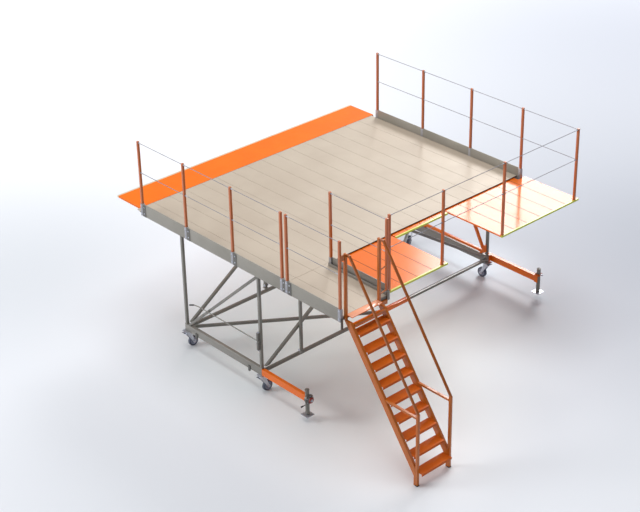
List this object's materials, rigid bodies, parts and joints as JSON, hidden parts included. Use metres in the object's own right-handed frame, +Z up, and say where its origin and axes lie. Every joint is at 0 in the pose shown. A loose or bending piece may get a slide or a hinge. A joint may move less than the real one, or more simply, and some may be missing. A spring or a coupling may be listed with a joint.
{
  "type": "mobile aircraft maintenance platform with stairs",
  "caption": "Wheeled aircraft maintenance platform: braced tube base, flat deck with slide-out panels, front flap, guard rails and a stair flight.",
  "frame": {"origin": "centre of the footprint of the whole platform, on the floor", "axes": "+X along the stair flight away from the front flap, +Y from the stair side to the far side, +Z up"},
  "size_m": [6.202, 4.903, 3.08],
  "materials": {
    "grey_paint": "satin grey paint on welded steel tube",
    "dark_grey_paint": "dark grey paint",
    "orange_paint": "gloss orange paint",
    "terracotta_paint": "gloss red-brown orange paint on square tube",
    "tread_paint": "gloss orange-red paint on folded plate",
    "red_paint": "gloss red paint",
    "deck_plank": "ribbed plank with a warm grey matt finish",
    "grey_plate": "brushed warm grey sheet",
    "yellow_edge": "satin yellow-green paint",
    "pale_edge": "pale bare edge",
    "bright_metal": "bright drawn metal",
    "zinc_steel": "bright zinc plated steel",
    "slide_plastic": "black slide plastic",
    "wheel_core": "dark blue-grey cast wheel",
    "wheel_tread": "dark blue-grey rubber tread"
  },
  "bodies": {
    "platform": {"base_side_beams": "grey_paint", "base_end_beams": "grey_paint", "base_diagonals": "grey_paint", "legs": "grey_paint", "side_braces": "grey_paint", "end_braces": "grey_paint", "loose_struts": "grey_paint", "lashing_lugs": "dark_grey_paint", "deck_bolsters": "grey_paint", "deck_joists": "grey_paint", "deck_girders": "grey_paint", "deck_side_rails": "grey_paint", "panel_webs": "grey_paint", "slide_pads": "slide_plastic", "deck_planks": "deck_plank", "landing_floor": "deck_plank", "edge_plates": "grey_plate", "landing_toe_board": "dark_grey_paint", "post_sockets": "bright_metal", "post_brackets": "dark_grey_paint", "side_posts": "terracotta_paint", "fence_posts": "terracotta_paint", "panel_posts": "terracotta_paint", "guard_rods": "bright_metal", "near_panel": "orange_paint", "far_panel": "orange_paint", "panel_noses": "yellow_edge", "outriggers": "orange_paint", "far_props": "orange_paint", "jack_tubes": "grey_paint", "jack_gears": "dark_grey_paint", "jack_caps": "red_paint", "stair_stringers": "terracotta_paint", "stair_treads": "tread_paint", "stair_posts": "terracotta_paint", "stair_handrails": "terracotta_paint", "stair_stays": "terracotta_paint", "pull_bracket": "dark_grey_paint", "caster_plates": "zinc_steel", "flap_hinges": "zinc_steel"},
    "flap": {"bridge_flap": "orange_paint", "flap_nose_strip": "pale_edge", "flap_knuckles": "zinc_steel"},
    "middle_panel": {"mid_panel": "orange_paint", "mid_nose": "yellow_edge"},
    "pull_bar": {"pull_bar": "grey_paint"},
    "near_jack_foot": {"jack_foot_near": "zinc_steel"},
    "far_jack_foot": {"jack_foot_far": "zinc_steel"},
    "caster_1": {"fork_1": "zinc_steel"},
    "wheel_1": {"hub_1": "wheel_core", "tyre_1": "wheel_tread"},
    "caster_2": {"fork_2": "zinc_steel"},
    "wheel_2": {"hub_2": "wheel_core", "tyre_2": "wheel_tread"},
    "caster_3": {"fork_3": "zinc_steel"},
    "wheel_3": {"hub_3": "wheel_core", "tyre_3": "wheel_tread"},
    "caster_4": {"fork_4": "zinc_steel"},
    "wheel_4": {"hub_4": "wheel_core", "tyre_4": "wheel_tread"}
  },
  "joints": [
    {"name": "flap_fold", "type": "hinge", "parent": "platform", "child": "flap", "pos_m": [-2.556, -0.076, 1.936], "axis": [0, -1, 0], "range_deg": [0, 90]},
    {"name": "middle_panel_slide", "type": "slide", "parent": "platform", "child": "middle_panel", "axis": [1, 0, 0], "range_m": [0, 1.01]},
    {"name": "pull_bar_swing", "type": "hinge", "parent": "platform", "child": "pull_bar", "pos_m": [0.013, -2.3815, 0.85], "axis": [0, 0, 1], "range_deg": [0, 120]},
    {"name": "near_jack_drop", "type": "slide", "parent": "platform", "child": "near_jack_foot", "axis": [0, 0, -1], "range_m": [0, 0.07]},
    {"name": "far_jack_drop", "type": "slide", "parent": "platform", "child": "far_jack_foot", "axis": [0, 0, -1], "range_m": [0, 0.11]},
    {"name": "caster_1_swivel", "type": "hinge", "parent": "platform", "child": "caster_1", "pos_m": [-1.643, -2.3365, 0.25], "axis": [0, 0, 1], "continuous": true},
    {"name": "wheel_1_roll", "type": "hinge", "parent": "caster_1", "child": "wheel_1", "pos_m": [-1.643, -2.2515, 0.08], "axis": [1, 0, 0], "continuous": true},
    {"name": "caster_2_swivel", "type": "hinge", "parent": "platform", "child": "caster_2", "pos_m": [0.017, -2.3365, 0.25], "axis": [0, 0, 1], "continuous": true},
    {"name": "wheel_2_roll", "type": "hinge", "parent": "caster_2", "child": "wheel_2", "pos_m": [0.017, -2.2515, 0.08], "axis": [1, 0, 0], "continuous": true},
    {"name": "caster_3_swivel", "type": "hinge", "parent": "platform", "child": "caster_3", "pos_m": [0.017, 2.2935, 0.25], "axis": [0, 0, 1], "continuous": true},
    {"name": "wheel_3_roll", "type": "hinge", "parent": "caster_3", "child": "wheel_3", "pos_m": [-0.068, 2.2935, 0.08], "axis": [0, 1, 0], "continuous": true},
    {"name": "caster_4_swivel", "type": "hinge", "parent": "platform", "child": "caster_4", "pos_m": [-1.643, 2.2935, 0.25], "axis": [0, 0, 1], "continuous": true},
    {"name": "wheel_4_roll", "type": "hinge", "parent": "caster_4", "child": "wheel_4", "pos_m": [-1.60708, 2.21646, 0.08], "axis": [-0.9063, -0.4226, 0], "continuous": true}
  ]
}
